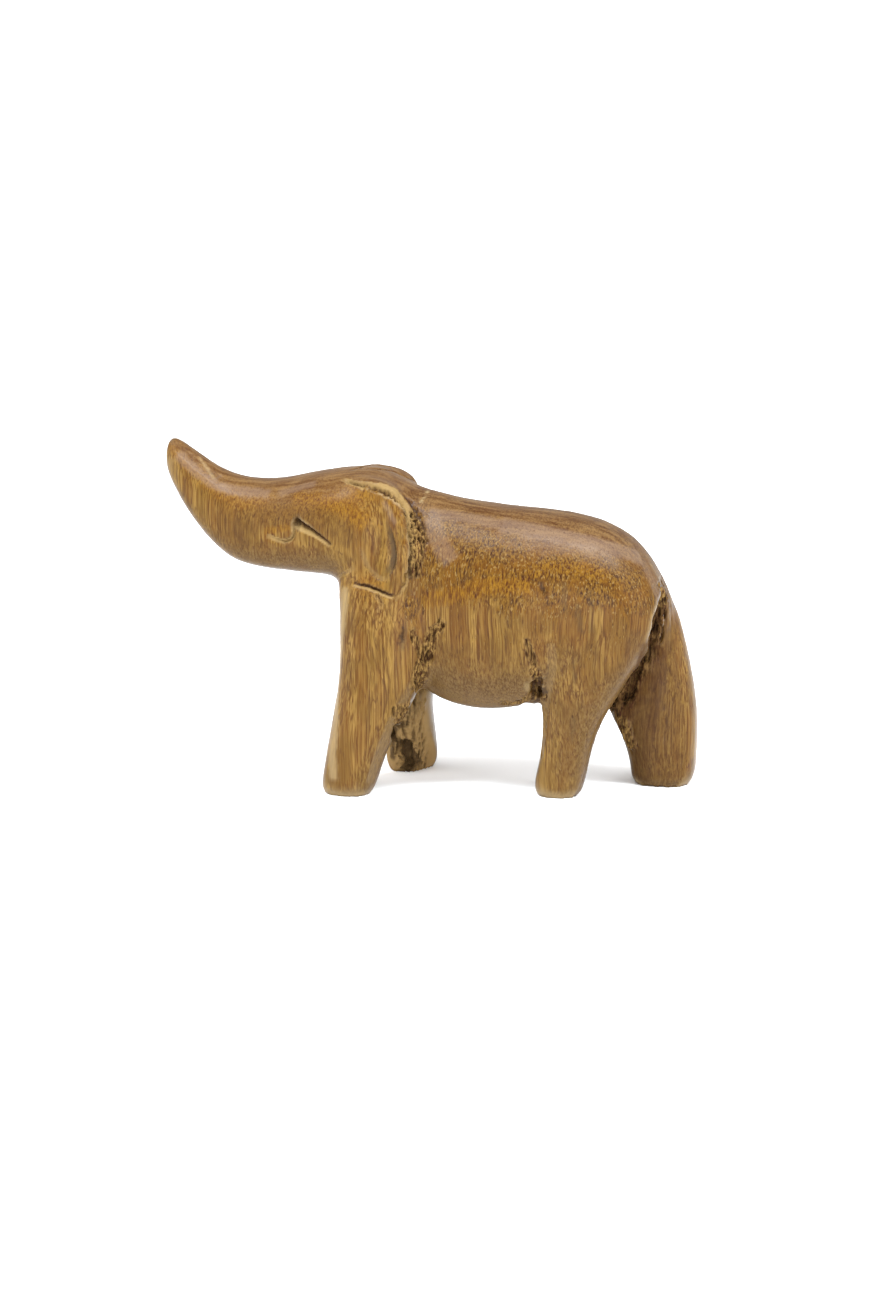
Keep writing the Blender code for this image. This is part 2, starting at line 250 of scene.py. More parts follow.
# Ragged patches of colour on the left side, each with its tone, half its width, its strength and its line.
PATCHES = (
    ("stain", 0.9, 0.6, ((31.1, 46.2), (31.5, 42.7))),
    ("stain", 0.9, 0.6, ((34.3, 41.4), (34.8, 37.6))),
    ("stain", 0.7, 0.6, ((33.6, 28.6), (33.8, 24.2))),
    ("stain", 0.7, 0.5, ((33.5, 15.4), (33.4, 12.0))),
    ("stain", 0.9, 0.4, ((37.0, 45.0), (37.4, 38.0))),
    ("stain", 0.8, 0.6, ((-5.4, 35.6), (-5.9, 32.0))),
    ("wear_and_painted_edge_light", 0.6, 0.45, ((-52.4, 72.4), (-50.4, 69.6))),
    ("wear_and_painted_edge_light", 0.6, 0.6, ((50.8, 51.6), (52.4, 49.0))),
    ("wear_and_painted_edge_light", 0.4, 0.9, ((-1.2, 65.4), (-0.4, 66.6))),
    ("amber", 2.4, 0.9, ((0.6, 42.6), (7.0, 44.0), (14.0, 46.0), (22.0, 46.5))),
    ("amber", 2.0, 0.6, ((24.0, 50.0), (31.0, 51.0), (39.0, 50.0))),
    ("amber", 1.2, 0.8, ((-36.4, 57.2), (-33.2, 58.0))),
    ("amber", 1.4, 0.7, ((-19.2, 64.6), (-14.5, 65.8), (-9.0, 64.4))),
    # Painted light from the left down the near fore leg's front edge, in the wear tone.
    ("wear_and_painted_edge_light", 1.5, 0.7, ((-19.2, 43.0), (-20.2, 30.0), (-21.4, 15.0), (-22.5, 5.0), (-22.3, 0.6))),
    # Milky patches along the back, shoulders and rump: a painted sheen, partly a real bloom of the wax.
    ("bloom_and_painted_sheen", 1.8, 0.7, ((1.8, 62.2), (9.6, 61.4), (20.1, 59.7))),
    ("bloom_and_painted_sheen", 2.6, 0.9, ((18.0, 60.0), (30.3, 58.0), (40.7, 55.9), (47.2, 54.1))),
    ("bloom_and_painted_sheen", 2.2, 0.5, ((49.0, 52.0), (52.0, 46.0))),
    # Painted shade in the two pinholes.
    ("painted_recess_shade", 0.55, 1.0, ((-6.1, 34.7), (-6.3, 33.1))),
    ("painted_recess_shade", 0.5, 1.0, ((26.1, 46.4), (26.6, 45.3))),
    # More milky patches on the shoulder, trunk, head and ear: a painted sheen, partly a real bloom of the
    # wax.
    ("bloom_and_painted_sheen", 2.6, 0.7, ((1.0, 60.0), (2.4, 56.0), (4.6, 52.6))),
    ("bloom_and_painted_sheen", 1.6, 0.8, ((-57.0, 73.0), (-53.9, 70.2), (-47.4, 66.5), (-38.0, 65.5))),
    ("bloom_and_painted_sheen", 1.3, 0.6, ((-33.0, 66.0), (-27.3, 67.7))),
    ("bloom_and_painted_sheen", 0.9, 0.6, ((-9.4, 63.4), (-8.1, 61.0))),
    # Painted shade in the far fore foot's hollows and in the slots under the belly.
    ("painted_recess_shade", 1.9, 0.9, ((-5.9, 9.0), (-5.4, 5.4), (-5.0, 1.6))),
    ("painted_recess_shade", 1.1, 0.9, ((-7.3, 13.6), (-7.9, 10.0), (-8.2, 6.0))),
    ("painted_recess_shade", 0.8, 0.9, ((25.6, 24.6), (25.6, 21.6))),
    ("painted_recess_shade", 0.7, 0.9, ((24.2, 23.8), (24.2, 21.6))),
    # Darker patches in the cleft and down the far hind leg's inner face: painted shade between the hind
    # legs, with dirt. The last one is a spot on the head.
    ("dirt_and_painted_shade", 2.4, 1.0, ((52.4, 42.0), (50.6, 36.0), (48.6, 31.0), (46.4, 26.4))),
    ("dirt_and_painted_shade", 3.0, 1.0, ((47.6, 28.0), (45.4, 23.4), (44.2, 19.0))),
    ("dirt_and_painted_shade", 3.6, 0.7, ((51.4, 32.0), (50.0, 20.0), (48.8, 4.0))),
    ("dirt_and_painted_shade", 1.6, 0.5, ((-44.6, 58.0), (-43.0, 54.0))),
    ("smoke_and_painted_shade", 3.6, 0.9, ((-43.0, 58.5), (-34.0, 61.0), (-25.0, 60.0), (-19.0, 57.0))),
    ("amber", 2.8, 0.9, ((-30.0, 64.0), (-22.0, 63.6), (-15.5, 60.0))),
    # Smoky patches. Low on the flank and in the cleft they are painted shade under the belly and between the
    # hind legs, partly darker wood.
    ("smoke_and_painted_shade", 3.6, 0.9, ((3.0, 24.5), (12.0, 22.5), (21.0, 23.5))),
    ("smoke_and_painted_shade", 3.0, 0.4, ((4.0, 30.0), (14.0, 29.0), (21.0, 30.0))),
    ("smoke_and_painted_shade", 2.6, 0.7, ((-46.0, 55.0), (-38.0, 52.6), (-29.0, 51.4))),
    ("smoke_and_painted_shade", 2.0, 0.6, ((46.5, 36.0), (45.0, 30.0), (42.0, 24.0))),
)


# ---------------------------------------------------------------- geometry tools


def smoothed(line, steps):
    """A Catmull-Rom curve through the line's points."""
    points = np.array(line, float)
    padded = np.vstack((2 * points[0] - points[1], points, 2 * points[-1] - points[-2]))
    curve = []
    for a, b, c, d in zip(padded, padded[1:], padded[2:], padded[3:]):
        for step in range(steps):
            t = step / steps
            curve.append(b + 0.5 * t * (c - a + t * (2 * a - 5 * b + 4 * c - d + t * (3 * (b - c) + d - a))))
    return np.array(curve + [points[-1]])


def unit(vectors):
    return vectors / np.maximum(np.linalg.norm(vectors, axis=-1, keepdims=True), 1e-9)


def ramp(values, start, end):
    """0 at start, 1 at end, and smooth between them."""
    t = np.clip((values - start) / (end - start), 0, 1)
    return t * t * (3 - 2 * t)


def spread(value, share):
    """A number for each share of a mark's length, from one number or several spread evenly along it."""
    values = np.atleast_1d(value)
    return np.interp(share, np.linspace(0, 1, len(values)), values)


def grain_noise(points, across, along, seed, octaves=2):
    """Noise from about -1 to 1 whose cells are `across` wide in X and Y and `along` long in Z."""
    scaled = points / (across, across, along) + seed * 17.3
    total = np.zeros(len(points))
    for octave in range(octaves):
        factor = 2.0**octave
        total += [noise.noise(p) / factor for p in (scaled * factor).tolist()]
    return total


def on_sight(x, z, y):
    """Where the line of sight through (x, 0, z) crosses the plane at y."""
    step = np.array((x, 0.0, z)) - CAMERA_PLACE
    return CAMERA_PLACE + step * (1 - y / CAMERA_PLACE[1])


def evaluated_copy(source, name):
    """A new object whose mesh is what the source's modifiers make."""
    made = source.evaluated_get(bpy.context.evaluated_depsgraph_get())
    copy = bpy.data.objects.new(name, bpy.data.meshes.new_from_object(made))
    bpy.context.scene.collection.objects.link(copy)
    return copy


def remeshed(source, name, voxel, smoothing):
    """The source as an even skin of small quads."""
    work = bpy.data.objects.new(name + "_work", source.data.copy())
    bpy.context.scene.collection.objects.link(work)
    melt = work.modifiers.new("melt", "REMESH")
    melt.mode = "VOXEL"
    melt.voxel_size = voxel * MM
    relax = work.modifiers.new("relax", "SMOOTH")
    relax.factor = 0.5
    relax.iterations = smoothing
    made = evaluated_copy(work, name)
    bpy.data.objects.remove(work, do_unlink=True)
    return made


class Skin:
    """The carving's points in millimetres, with its outward directions and its tones."""

    def __init__(self, obj):
        self.obj = obj
        mesh = obj.data
        flat = np.empty(len(mesh.vertices) * 3, np.float32)
        mesh.vertices.foreach_get("co", flat)
        self.points = flat.reshape(-1, 3).astype(float) / MM
        mesh.vertices.foreach_get("normal", flat)
        self.out = flat.reshape(-1, 3).astype(float)
        self.tree = BVHTree.FromPolygons(
            [Vector(point) for point in self.points], [tuple(face.vertices) for face in mesh.polygons]
        )
        self.tones = {tone: np.zeros(len(self.points)) for tone in TONES}

    def tint(self, tone, where, amount):
        self.tones[tone][where] = np.maximum(self.tones[tone][where], amount)

    def hollowness(self, passes):
        """How far each point stands in from its surroundings, as millimetres. It is negative on an edge."""
        mesh = self.obj.data
        edges = np.empty(len(mesh.edges) * 2, np.int32)
        mesh.edges.foreach_get("vertices", edges)
        ends = edges.reshape(-1, 2)
        total = len(self.points)
        count = np.bincount(edges, minlength=total)[:, None]
        calm = self.points
        for _ in range(passes):
            sums = [
                np.bincount(ends[:, 0], calm[ends[:, 1], axis], total)
                + np.bincount(ends[:, 1], calm[ends[:, 0], axis], total)
                for axis in range(3)
            ]
            calm = np.stack(sums, axis=1) / count
        return np.einsum("ij,ij->i", calm - self.points, self.out)

    def write(self):
        mesh = self.obj.data
        mesh.vertices.foreach_set("co", (self.points * MM).astype(np.float32).ravel())
        for tone, values in self.tones.items():
            layer = mesh.attributes.new(tone, "FLOAT", "POINT")
            layer.data.foreach_set("value", np.clip(values, 0, 1).astype(np.float32))
        mesh.update()


class Mark:
    """A line pressed onto the skin: its points, and the ways out of the wood and across the line there."""

    def __init__(self, skin, line, side=LEFT):
        eye = Vector(CAMERA_PLACE)
        eye.y *= -side
        places = []
        directions = []
        for x, z in smoothed(line, MARK_STEPS):
            hit, normal, _, _ = skin.tree.ray_cast(eye, (Vector((x, 0, z)) - eye).normalized())
            if hit is not None:
                places.append(hit)
                directions.append(normal)
        self.at = np.array(places)
        groups = [directions[max(k - OUT_BLEND, 0) : k + OUT_BLEND + 1] for k in range(len(places))]
        self.out = unit(np.array([np.mean(group, axis=0) for group in groups]))
        self.along = unit(np.gradient(self.at, axis=0))
        self.across = unit(np.cross(self.along, self.out)) * -side

    def near(self, points, reach):
        """Which points are near the mark, and where each lies against it."""
        low = self.at.min(axis=0) - reach
        high = self.at.max(axis=0) + reach
        where = np.flatnonzero(np.all((points > low) & (points < high), axis=1))
        gap = points[where, None] - self.at[None]
        squares = np.einsum("ijk,ijk->ij", gap, gap)
        nearest = squares.argmin(axis=1)
        inside = squares.min(axis=1) < reach * reach
        where, nearest, gap = where[inside], nearest[inside], gap[inside, nearest[inside]]
        return SimpleNamespace(
            where=where,
            out=self.out[nearest],
            share=nearest / (len(self.at) - 1),
            across=np.einsum("ij,ij->i", gap, self.across[nearest]),
            beyond=np.abs(np.einsum("ij,ij->i", gap, self.along[nearest])),
            height=np.einsum("ij,ij->i", gap, self.out[nearest]),
        )


def gouge(skin, mark, depth, above, below, fray, tones):
    """Cuts a V-shaped groove.

    `above` is the width of the wall on the mark's across side, and `below` the width of the other wall. A
    tone is its name, the part of the groove that takes it, from -1 at the rim below to 1 at the rim above,
    and how strong it is.
    """
    near = mark.near(skin.points, np.max(above) + np.max(below) + fray)
    across = near.across
    if fray:
        across = across + fray * grain_noise(skin.points[near.where], *FRAY_CELL, FRAY_SEED)
    wall = np.where(across > 0, spread(above, near.share), spread(below, near.share))
    place = across / wall
    length = np.clip(1.6 - near.beyond / 0.5, 0, 1)
    cut = np.clip(1 - np.abs(place), 0, 1) * length
    skin.points[near.where] -= near.out * (spread(depth, near.share) * cut)[:, None]
    strength = np.minimum(spread(depth, near.share) / np.max(depth) * 2, 1) * length
    for tone, low, high, amount in tones:
        band = ramp(place, low - RIM_BLEND, low + RIM_BLEND)
        band *= 1 - ramp(place, high - RIM_BLEND, high + RIM_BLEND)
        skin.tint(tone, near.where, amount * band * strength)


def tear(skin, mark, half_width, depth, roughness, seed, torn, painted_recess_shade):
    """Breaks the surface up into ragged upright fibres along a mark."""
    near = mark.near(skin.points, np.max(half_width) + 1.5)
    points = skin.points[near.where]
    across = np.abs(near.across + 0.5 * grain_noise(points, *TORN_EDGE_CELL, seed))
    inside = 1 - ramp(across / spread(half_width, near.share), 0.55, 1.0)
    inside *= 1 - ramp(near.beyond, 0.5, 1.5)
    inside *= ramp(np.einsum("ij,ij->i", skin.out[near.where], near.out), 0.0, 0.4)
    splinters = 1 - 2.4 * np.abs(grain_noise(points, *SPLINTER_CELL, seed + 1))
    splinters += 0.6 * grain_noise(points, *CRUMB_CELL, seed + 2, 1)
    moved = inside * (spread(depth, near.share) - roughness * splinters)
    skin.points[near.where] -= near.out * moved[:, None]
    skin.tint("torn", near.where, torn * inside)
    # The deepest gaps between the splinters get painted shade.
    skin.tint("painted_recess_shade", near.where, painted_recess_shade * inside * ramp(splinters, 0.3, -0.5))


def plane_off(skin, mark, depth, reach, wear_and_painted_edge_light):
    """Shaves a flat facet `depth` below a mark."""
    near = mark.near(skin.points, reach)
    excess = np.clip(near.height + spread(depth, near.share), 0, None)
    excess *= (1 - ramp(np.abs(near.across), reach * 0.7, reach)) * (1 - ramp(near.beyond, 0.5, 2.0))
    skin.points[near.where] -= near.out * excess[:, None]
    skin.tint("wear_and_painted_edge_light", near.where, wear_and_painted_edge_light * ramp(excess, 0.02, 0.15))


def stain(skin, mark, half_width, tone, amount, seed):
    """Colours a soft-edged ragged patch along a mark."""
    near = mark.near(skin.points, half_width + 2)
    edge = 0.7 * np.abs(grain_noise(skin.points[near.where], *STAIN_EDGE_CELL, seed))
    across = np.abs(near.across) + edge
    inside = (1 - ramp(across, half_width * 0.5, half_width * 1.2)) * (1 - ramp(near.beyond, 1.0, 2.0))
    skin.tint(tone, near.where, amount * inside)


# ---------------------------------------------------------------- cutters


def solid(name, rings):
    """A closed solid skinned over rings of points, in millimetres."""
    mesh = bmesh.new()
    levels = [[mesh.verts.new(np.asarray(point) * MM) for point in ring] for ring in rings]
    for low, high in zip(levels, levels[1:]):
        for k in range(len(low)):
            after = (k + 1) % len(low)
            mesh.faces.new((low[k], low[after], high[after], high[k]))
    mesh.faces.new(reversed(levels[0]))
    mesh.faces.new(levels[-1])
    bmesh.ops.recalc_face_normals(mesh, faces=mesh.faces)
    data = bpy.data.meshes.new(name)
    mesh.to_mesh(data)
    mesh.free()
    made = bpy.data.objects.new(name, data)
    bpy.context.scene.collection.objects.link(made)
    return made


def ragged(line, steps, amount, seed):
    """A curve through the line whose x and z wander."""
    curve = smoothed(line, steps)
    for point in curve:
        place = Vector((point[0] * 0.8, seed, point[1] * 0.8))
        point += amount * np.array((noise.noise(place), noise.noise(place + Vector((7, 0, 0)))))
    return curve


def wedge(mark, half_width, depth, seed):
    """A ragged V-shaped cutter that follows a mark."""
    rings = []
    for at, out, across in zip(mark.at, mark.out, mark.across):
        width = across * half_width * (1 + 0.35 * noise.noise(Vector(at * 0.9) + Vector((seed, 0, 0))))
        floor = at - out * depth * (1 + 0.2 * noise.noise(Vector(at * 0.7) + Vector((0, seed, 0))))
        rim = at + out * 2.0
        rings.append((rim + width * 1.5, floor + width * 0.5, floor - width * 0.5, rim - width * 1.5))
    return solid("wedge", rings)


def cleft_cutter():
    """The torn channel between the hind legs: its near mouth, and its floor on the far leg's inner face."""
    left = ragged(CLEFT_LEFT, 4, 0.55, 3)
    right = ragged(CLEFT_RIGHT, 4, 0.5, 4)[::-1]
    mouth = [on_sight(x, z, CLEFT_MOUTH) for x, z in (*left, *right)]
    lean = np.concatenate(
        (np.linspace(*CLEFT_LEAN_LEFT, len(left)), np.linspace(*CLEFT_LEAN_RIGHT, len(right)))
    )
    depth = np.concatenate((np.linspace(0, 1, len(left)), np.linspace(1, 0, len(right))))
    floor = []
    for (x, z), shift, share in zip((*left, *right), lean, depth):
        floor.append(on_sight(x + shift, z, spread(CLEFT_FLOOR, share)))
    return solid("cleft", (mouth, floor))


def belly_cutter():
    """What broke away under the belly in front of the near hind leg."""
    edge = ragged(BELLY_BREAK, 5, 0.45, 6)
    outline = [*edge, (edge[-1][0], BELLY_BOTTOM), (edge[0][0], BELLY_BOTTOM)]
    return solid("belly", [[on_sight(x, z, y) for x, z in outline] for y in (-BELLY_REACH, BELLY_REACH)])


def cut_open(rough, whole):
    """The rough skin with its deep breaks cut out. Whole is the same skin, to press the marks on."""
    knives = [cleft_cutter(), belly_cutter(), solid("foot", FOOT_BREAK)]
    knives += [wedge(Mark(whole, line), width, HOLLOW_DEPTH, width) for width, line in HOLLOWS]
    knives += [
        wedge(Mark(whole, line), SLOT_HALF_WIDTH, SLOT_DEPTH, number) for number, line in enumerate(SLOTS)
    ]
    for knife in knives:
        cut = rough.modifiers.new("cut", "BOOLEAN")
        cut.operation = "DIFFERENCE"
        cut.solver = "EXACT"
        cut.object = knife
    made = evaluated_copy(rough, "elephant_cut")
    for spent in (rough, *knives):
        bpy.data.objects.remove(spent, do_unlink=True)
    return made


def refine(piece, marks):
    """Halves the edges near the marks, so that a narrow cut has enough points."""
    mesh = bmesh.new()
    mesh.from_mesh(piece.data)
    points = np.array([vertex.co for vertex in mesh.verts]) / MM
    close = np.zeros(len(points), bool)
    for mark in marks:
        close[mark.near(points, REFINED_REACH).where] = True
    edges = [edge for edge in mesh.edges if all(close[vertex.index] for vertex in edge.verts)]
    bmesh.ops.subdivide_edges(mesh, edges=edges, cuts=1, use_grid_fill=True)
    mesh.to_mesh(piece.data)
    mesh.free()


# ---------------------------------------------------------------- the carving


def plane_all(skin, marks, facets):
    for name, depth, reach, wear_and_painted_edge_light in facets:
        for mark in marks[name]:
            plane_off(skin, mark, depth, reach, wear_and_painted_edge_light)


def gouge_all(skin, marks, gouges):
    for name, depth, above, below, fray, tones in gouges:
        for mark in marks[name]:
            gouge(skin, mark, depth, above, below, fray, tones)


def tear_all(skin, marks, tears):
    for name, half_width, depth, roughness, seeds, torn, painted_recess_shade in tears:
        for mark, seed in zip(marks[name], seeds):
            tear(skin, mark, half_width, depth, roughness, seed, torn, painted_recess_shade)


def within(points, box):
    low, high = box
    return np.all((points > low) & (points < high), axis=1)


def cut_share(skin, whole):
    """1 where a point lies on a face that a cutter left: off the whole skin, or facing another way."""
    found = [whole.tree.find_nearest(place) for place in skin.points.tolist()]
    depth = np.array([distance for _, _, _, distance in found])
    turned = np.einsum("ij,ij->i", skin.out, np.array([normal for _, normal, _, _ in found]))
    return np.maximum(ramp(depth, 0.4, 1.0), ramp(turned, 0.6, 0.2))


def splinter(skin, whole):
    """Fibres on every face that a cutter left, and on the faces between the legs that broke off rough."""
    cut = cut_share(skin, whole)
    between_hind_legs = within(skin.points, BETWEEN_HIND_LEGS)
    cleft_wall = within(skin.points, CLEFT_WALL) & (skin.out[:, 1] > 0.2)
    broken_foot = within(skin.points, BROKEN_FOOT) * (1 - ramp(skin.points[:, 2], *BROKEN_FOOT_HEIGHTS))
    broken_foot *= ramp(-skin.out[:, 1], -0.2, 0.4)
    rough = np.maximum(cut, 0.6 * np.maximum(between_hind_legs, broken_foot))
    fibres = np.abs(
        grain_noise(skin.points, *FIBRE_CELL, 61) + 0.5 * grain_noise(skin.points, *FIBRE_CRUMB_CELL, 62, 1)
    )
    skin.points -= skin.out * (rough * (0.45 * fibres + 0.1))[:, None]
    skin.tint("torn", ALL, 0.75 * cut)
    skin.tones["torn"] *= 1 - 0.6 * broken_foot
    # The deep gaps between the fibres get painted shade, less on the broken far fore foot.
    skin.tint("painted_recess_shade", ALL, 0.5 * (rough - 0.4 * broken_foot) * ramp(fibres, 0.35, 0.8))
    # The faces between the hind legs and the cleft's far wall are darkened: painted shade, partly with
    # smoke-dark wood.
    skin.tint("smoke_and_painted_shade", ALL, 0.8 * (between_hind_legs | cleft_wall))
    skin.tint("fresh", ALL, 0.9 * broken_foot)
    # The broken far fore foot is painted paler still: a painted fill light against the shade under the
    # belly, over its pale fresh wood.
    skin.tint("pale_and_painted_fill", ALL, broken_foot)


def weather(skin):
    """Slow unevenness from the knife, with the soles kept on the ground."""
    knife = grain_noise(skin.points, *KNIFE_CELL, 21)
    ripple = grain_noise(skin.points, *RIPPLE_CELL, 22)
    skin.points += skin.out * (SKIN_GAIN + KNIFE_HEIGHT * knife + RIPPLE_HEIGHT * ripple)[:, None]
    skin.points[skin.points[:, 2] < SOLE, 2] = 0.0


def age(skin):
    """Dirt and painted shade in the hollows, worn edges, ragged patches of colour, some of them painted
    light and shade, and two pinholes with painted shade in them.
    """
    hollow = skin.hollowness(HOLLOW_PASSES)
    # Points that stand in from their surroundings are darkened: painted shade in the hollows, along with
    # dirt. Fresh wood takes half of it.
    skin.tones["dirt_and_painted_shade"] = ramp(hollow, 0.05, 0.35) * (1 - 0.5 * skin.tones["fresh"])
    broken = np.maximum(skin.tones["torn"], skin.tones["smoke_and_painted_shade"])
    skin.tint("wear_and_painted_edge_light", ALL, 0.6 * ramp(-hollow, 0.16, 0.45))
    skin.tones["wear_and_painted_edge_light"] *= 1 - ramp(broken, 0, 0.5)
    for seed, (tone, half_width, amount, line) in enumerate(PATCHES, 40):
        stain(skin, Mark(skin, line), half_width, tone, amount, seed)
    for line in PINHOLES:
        # Each pinhole's darkening is painted shade in the hole.
        gouge(skin, Mark(skin, line), (0.3, 0.8, 0.3), 0.5, 0.5, 0.0, (("painted_recess_shade", -0.9, 0.9, 1.0),))


def carved_skin():
    """The carving's even skin with its deep breaks cut out, and the whole skin before that."""
    rough = remeshed(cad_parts[NODE], "elephant_rough", ROUGH_VOXEL, ROUGH_SMOOTHING)
    whole = Skin(rough)
    cut = cut_open(rough, whole)
    piece = remeshed(cut, "elephant_skin", FINE_VOXEL, FINE_SMOOTHING)
    bpy.data.objects.remove(cut, do_unlink=True)
    return piece, whole


def mark_slopes(skin):
    """How much each point looks up, how much it can show end grain, and how much it looks down."""
    upward = np.clip(skin.out[:, 2], 0, 1) * ramp(skin.points[:, 2], *SLOPE_HEIGHTS)
    skin.tones["upward"] = upward
    skin.tones["stippled"] = (upward + EDGE_OF_STIPPLE) * ramp(skin.points[:, 0], *STIPPLE_FRONT)
    skin.tones["downward"] = np.clip(-skin.out[:, 2], 0, 1)


def carving():
    piece, whole = carved_skin()
    smooth = Skin(piece)
    marks = {name: [Mark(smooth, line, side) for side in sides] for name, (sides, line) in LINES.items()}
    refine(piece, [mark for pair in marks.values() for mark in pair])
    skin = Skin(piece)
    mark_slopes(skin)
    plane_all(skin, marks, FACETS)
    gouge_all(skin, marks, HEAD_GOUGES)
    tear_all(skin, marks, NECK_TEARS)
    gouge_all(skin, marks, NECK_GOUGES)
    tear_all(skin, marks, BODY_TEARS)
    splinter(skin, whole)
    weather(skin)
    age(skin)
    skin.write()
    piece.data.shade_smooth()
    piece.data.materials.clear()
    piece.data.materials.append(waxed_wood())
    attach(piece, "root")
    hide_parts(NODE)


# ---------------------------------------------------------------- the wood


class Graph:
    """Adds nodes to a material or a world and joins them in one call."""

    def __init__(self, owner):
        owner.use_nodes = True
        self.tree = owner.node_tree
        self.tree.nodes.clear()

    def add(self, kind, inputs=(), **settings):
        made = self.tree.nodes.new("ShaderNode" + kind)
        for name, value in settings.items():
            setattr(made, name, value)
        for name, value in dict(inputs).items():
            self.put(value, made.inputs[name])
        return made

    def put(self, value, socket):
        if isinstance(value, bpy.types.NodeSocket):
            self.tree.links.new(value, socket)
        else:
            socket.default_value = value

    def tone(self, name):
        return self.add("Attribute", attribute_name=name).outputs["Fac"]

    def grain(self, place, cell, offset, detail=2.0, roughness=0.55):
        """Noise whose cells are as long as `cell` says along X, Y and Z."""
        size = tuple(1 / length for length in cell)
        moved = self.add("Mapping", {"Vector": place, "Scale": size, "Location": (offset, offset, offset)})
        inputs = {"Vector": moved.outputs[0], "Scale": 1.0, "Detail": detail, "Roughness": roughness}
        return self.add("TexNoise", inputs).outputs["Fac"]

    def between(self, value, low, high):
        """0 where the value is under low, 1 where it is over high."""
        inputs = {"Value": value, "From Min": low, "From Max": high}
        return self.add("MapRange", inputs, interpolation_type="SMOOTHSTEP").outputs[0]

    def math(self, operation, first, second=0.0):
        return self.add("Math", {0: first, 1: second}, operation=operation).outputs[0]

    def mix(self, factor, first, second):
        """A colour that is the first where the factor is 0 and the second where it is 1."""
        return self.add("Mix", {0: factor, 6: first, 7: second}, data_type="RGBA").outputs[2]

    def part(self, amount, mask):
        return self.math("MULTIPLY", mask, amount)

    def cover(self, wood, tone, amount, colour):
        """The wood with a colour over it where the skin carries a tone."""
        return self.mix(self.part(amount, self.tone(tone)), wood, colour)


def seen(red, green, blue):
    """The shader colour of wood that shows these values, from 0 to 255, in the studio's light."""
    screen = np.array((red, green, blue)) / 255
    linear = ((screen + 0.055) / 1.055) ** 2.4
    return (*np.maximum(linear - SHEEN, DARKEST * linear) / LIGHT, 1.0)


def grain_place(graph):
    """The point in millimetres, wandering a little across the grain so that no streak is straight."""
    coordinates = graph.add("TexCoord").outputs["Object"]
    millimetres = graph.add("Mapping", {"Vector": coordinates, "Scale": (1000, 1000, 1000)}).outputs[0]
    wander = graph.add("TexNoise", {"Vector": millimetres, "Scale": 0.05, "Detail": 1.0}).outputs["Color"]
    wander = graph.add("VectorMath", {0: wander, 1: (3.0, 3.0, 0.0)}, operation="MULTIPLY").outputs[0]
    return graph.add("VectorMath", {0: millimetres, 1: wander}, operation="ADD").outputs[0]


def wood_noises(graph):
    """What the wood's colours, gloss and relief follow, from long threads to short specks."""
    place = grain_place(graph)
    threads = graph.grain(place, (0.42, 0.42, 60.0), 7.7)
    fibres = graph.grain(place, (0.28, 0.28, 9.0), 11.3)
    clouds = graph.grain(place, (6.0, 6.0, 9.0), 29.9)
    dashes = graph.grain(place, (0.38, 0.38, 2.4), 17.9, 3.0, 0.65)
    seams = graph.math("SUBTRACT", graph.grain(place, (1.5, 1.5, 60.0), 41.3, 1.0), 0.5)
    ragged = graph.math("ADD", graph.part(0.7, fibres), graph.part(0.5, clouds))
    rings = graph.part(0.6, graph.grain(place, (9.0, 0.9, 1.6), 43.1))
    return SimpleNamespace(
        fibres=fibres,
        clouds=clouds,
        dashes=dashes,
        streaks=graph.math("ADD", graph.part(0.65, threads), graph.part(0.35, fibres)),
        bands=graph.grain(place, (3.4, 5.0, 80.0), 3.1, 1.0),
        seams=graph.between(graph.math("ABSOLUTE", seams), 0.022, 0.004),
        specks=graph.grain(place, (0.40, 0.40, 1.1), 23.9, 1.0),
        patches=graph.grain(place, (7.0, 7.0, 5.0), 37.9),
        ragged=graph.math("SUBTRACT", ragged, 0.6),
        rings=graph.math("ADD", rings, graph.part(0.4, dashes)),
        pores=graph.between(graph.grain(place, (0.30, 0.30, 4.0), 19.1, 1.0), 0.60, 0.68),
    )


def side_grain(graph, noises):
    """Upright streaks, with broad bands, thin dark seams and clouds."""
    wood = graph.mix(graph.between(noises.streaks, 0.38, 0.62), seen(124, 84, 36), seen(190, 148, 82))
    wood = graph.mix(graph.part(0.55, graph.between(noises.bands, 0.52, 0.60)), wood, seen(144, 100, 48))
    wood = graph.mix(graph.part(0.3, graph.between(noises.bands, 0.48, 0.38)), wood, seen(182, 142, 72))
    wood = graph.mix(graph.part(0.55, noises.seams), wood, seen(92, 58, 24))
    return graph.mix(graph.part(0.35, graph.between(noises.clouds, 0.46, 0.62)), wood, seen(132, 100, 50))


def end_grain(graph, noises):
    """Dark and light dots, where the fibres come out of a slope."""
    wood = graph.mix(graph.between(noises.dashes, 0.32, 0.66), seen(82, 52, 16), seen(162, 118, 54))
    wood = graph.mix(graph.part(0.5, graph.between(noises.patches, 0.48, 0.58)), wood, seen(146, 98, 26))
    return graph.mix(graph.part(0.45, graph.between(noises.specks, 0.58, 0.68)), wood, seen(204, 168, 108))


